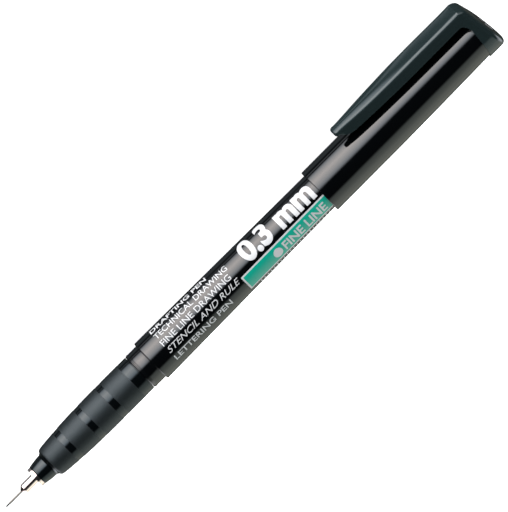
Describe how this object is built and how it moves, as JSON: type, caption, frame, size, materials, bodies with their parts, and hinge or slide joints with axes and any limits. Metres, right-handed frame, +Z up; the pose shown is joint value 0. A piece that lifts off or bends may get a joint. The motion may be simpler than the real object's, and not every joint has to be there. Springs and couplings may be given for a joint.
{
  "type": "technical pen",
  "caption": "Slim black drawing pen with a needle point, textured grip, tapered barrel and posted cap with a spring clip.",
  "frame": {"origin": "centre of the footprint on the table the pen lies on, under the middle of its length", "axes": "+X along the pen's axis towards the writing point, +Z up from the table, the clip hangs to -Y and 21 degrees below the level"},
  "size_m": [0.1486, 0.016, 0.0114],
  "materials": {
    "gloss_black": "moulded, high gloss black",
    "clip_black": "moulded, high gloss black with a faint green cast",
    "grip_black": "moulded, fine spark texture with polished rings",
    "disc_black": "moulded, gloss black with a plain white mark",
    "plug_black": "moulded, satin black",
    "tip_metal": "turned and nickel plated, bright, slightly warm",
    "needle_steel": "drawn stainless tube",
    "nib_fibre": "extruded fibre, ink soaked",
    "feed_fibre": "bonded fibre, ink soaked",
    "reservoir_fibre": "bonded polyester fibre, ink soaked",
    "film_plastic": "thin clear film",
    "holder_plastic": "moulded, natural",
    "liner_plastic": "moulded, natural, soft",
    "print_white": "screen printed ink",
    "print_green": "screen printed ink"
  },
  "bodies": {
    "pen_body": {"nib_core": "nib_fibre", "needle_tube": "needle_steel", "tip_holder": "tip_metal", "nose_cone": "gloss_black", "grip_section": "grip_black", "feed_wick": "feed_fibre", "wick_holder": "holder_plastic", "barrel": "gloss_black", "reservoir": "reservoir_fibre", "reservoir_film": "film_plastic", "tail_plug": "plug_black"},
    "cap_liner": {"inner_cap": "liner_plastic"},
    "cap": {"cap_tube": "gloss_black", "cap_head": "clip_black", "cap_end_disc": "disc_black"},
    "clip": {"clip": "clip_black"}
  },
  "joints": [
    {"name": "cap_pull", "type": "slide", "parent": "pen_body", "child": "cap_liner", "axis": [-1, 0, 0], "range_m": [0, 0.036]},
    {"name": "cap_turn", "type": "hinge", "parent": "cap_liner", "child": "cap", "pos_m": [-0.04568, 0.00227, 0.0057], "axis": [1, 0, 0], "continuous": true},
    {"name": "clip_flex", "type": "hinge", "parent": "cap", "child": "clip", "pos_m": [-0.06868, -0.00589, 0.0026], "axis": [0, 0.3555, -0.9347], "range_deg": [0, 5], "stiffness_Nm_per_rad": 2.45}
  ]
}
